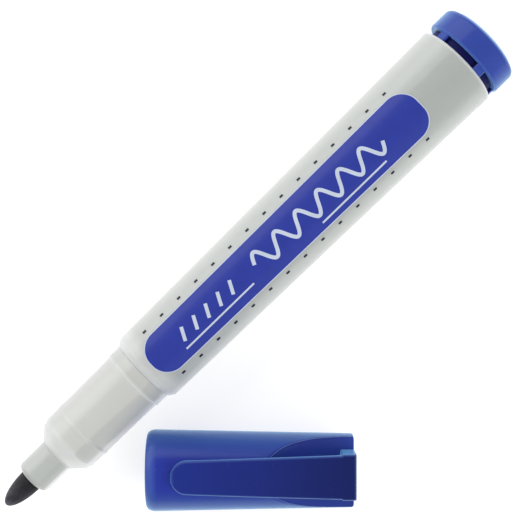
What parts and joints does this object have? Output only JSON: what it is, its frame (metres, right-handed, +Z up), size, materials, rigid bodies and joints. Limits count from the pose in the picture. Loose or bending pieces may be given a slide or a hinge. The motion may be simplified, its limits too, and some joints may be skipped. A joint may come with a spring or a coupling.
{
  "type": "permanent marker pen",
  "caption": "Uncapped bullet-tip permanent marker with a tapered translucent barrel, blue pull-out end plug and a blue clip cap lying beside it",
  "frame": {"origin": "on the pen's axis at the barrel's front step, where the cap's mouth stops", "axes": "+X runs along the pen towards the end plug, -X towards the nib; +Z is up, the side of the label and the clip; the cap lies beside the pen towards -Y"},
  "size_m": [0.1315, 0.0567, 0.0191],
  "materials": {
    "clear_plastic": "translucent natural polypropylene, satin",
    "felt": "ink-soaked pressed felt",
    "fibre": "bonded fibre rod soaked with ink",
    "film": "thin clear film sleeve",
    "blue_plastic": "moulded blue polypropylene, satin gloss",
    "cap_plastic": "moulded blue polypropylene, satin gloss",
    "blue_print": "blue printed ink, slightly glossy",
    "white_print": "white printed ink",
    "dark_print": "dark printed ink"
  },
  "bodies": {
    "pen": {"barrel": "clear_plastic", "front_section": "clear_plastic", "nib": "felt", "reservoir": "fibre", "reservoir_wrap": "film", "label_panel": "blue_print", "label_graphic": "white_print", "label_dashes": "dark_print"},
    "plug": {"end_plug": "blue_plastic"},
    "cap": {"cap_shell": "cap_plastic"},
    "clip": {"cap_clip": "cap_plastic"}
  },
  "joints": [
    {"name": "cap_swing", "type": "hinge", "parent": "pen", "child": "cap", "pos_m": [-0.0561, 0.0113, 0], "axis": [0, 0, -1], "range_deg": [0, 135.75]},
    {"name": "clip_flex", "type": "hinge", "parent": "cap", "child": "clip", "pos_m": [0.01367, -0.04089, 0.0089], "axis": [0.6978, 0.7163, 0], "range_deg": [0, 6], "stiffness_Nm_per_rad": 1},
    {"name": "plug_pull", "type": "slide", "parent": "pen", "child": "plug", "axis": [1, 0, 0], "range_m": [0, 0.012]}
  ]
}
